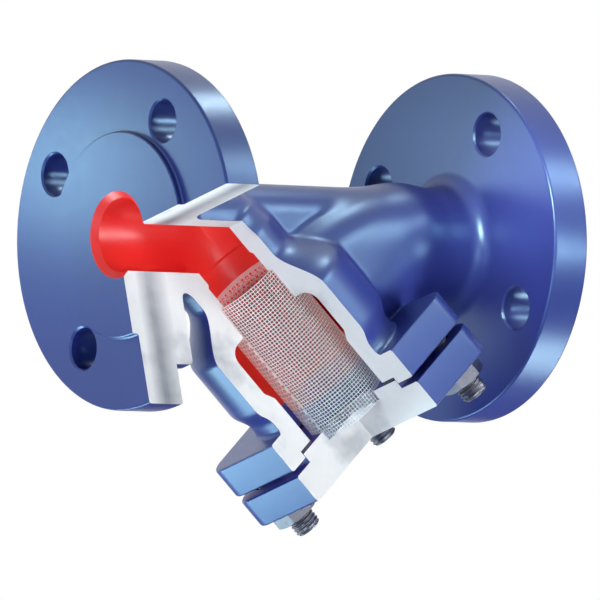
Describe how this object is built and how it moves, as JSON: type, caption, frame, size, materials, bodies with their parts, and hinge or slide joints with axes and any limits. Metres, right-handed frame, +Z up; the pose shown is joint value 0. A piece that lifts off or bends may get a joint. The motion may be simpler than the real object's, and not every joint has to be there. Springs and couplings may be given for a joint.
{
  "type": "pipe strainer",
  "caption": "Flanged Y pattern pipe strainer, sectioned to show the passage, chamber and cylindrical mesh screen held by a bolted cover.",
  "frame": {"origin": "centre of the outlet flange's bolt circle, on the disc's face under the raised face", "axes": "+X along the pipe from inlet to outlet, +Z up with the branch hanging below, -Y towards the sawn side"},
  "size_m": [0.2, 0.15, 0.1965],
  "materials": {
    "casting_paint": "gloss blue paint outside, pale sawn faces, red and blue inside",
    "gasket": "matt dark sheet",
    "mesh": "stainless woven wire",
    "basket": "stainless perforated sheet",
    "zinc": "bright zinc"
  },
  "bodies": {
    "casting": {"body": "casting_paint", "stud_back_lower": "zinc", "stud_back_upper": "zinc", "stud_front_upper": "zinc"},
    "cover": {"cover": "casting_paint", "cover_gasket": "gasket"},
    "screen": {"mesh_sleeve": "mesh", "support_basket": "basket"},
    "nut_back_lower": {"nut_back_lower": "zinc"},
    "nut_back_upper": {"nut_back_upper": "zinc"},
    "nut_front_upper": {"nut_front_upper": "zinc"}
  },
  "joints": [
    {"name": "cover_slide", "type": "slide", "parent": "casting", "child": "cover", "axis": [0.6428, 0, -0.766], "range_m": [0, 0.16]},
    {"name": "screen_slide", "type": "slide", "parent": "casting", "child": "screen", "axis": [0.6428, 0, -0.766], "range_m": [0, 0.08]},
    {"name": "nut_back_lower_spin", "type": "hinge", "parent": "cover", "child": "nut_back_lower", "pos_m": [-0.09863, 0.03253, -0.11004], "axis": [0.6428, 0, -0.766], "continuous": true},
    {"name": "nut_back_upper_spin", "type": "hinge", "parent": "cover", "child": "nut_back_upper", "pos_m": [-0.04879, 0.03253, -0.06822], "axis": [0.6428, 0, -0.766], "continuous": true},
    {"name": "nut_front_upper_spin", "type": "hinge", "parent": "cover", "child": "nut_front_upper", "pos_m": [-0.04879, -0.03253, -0.06822], "axis": [0.6428, 0, -0.766], "continuous": true}
  ],
  "couplings": [
    {"joint": "screen_slide", "follows": "cover_slide", "ratio": 0.5}
  ]
}
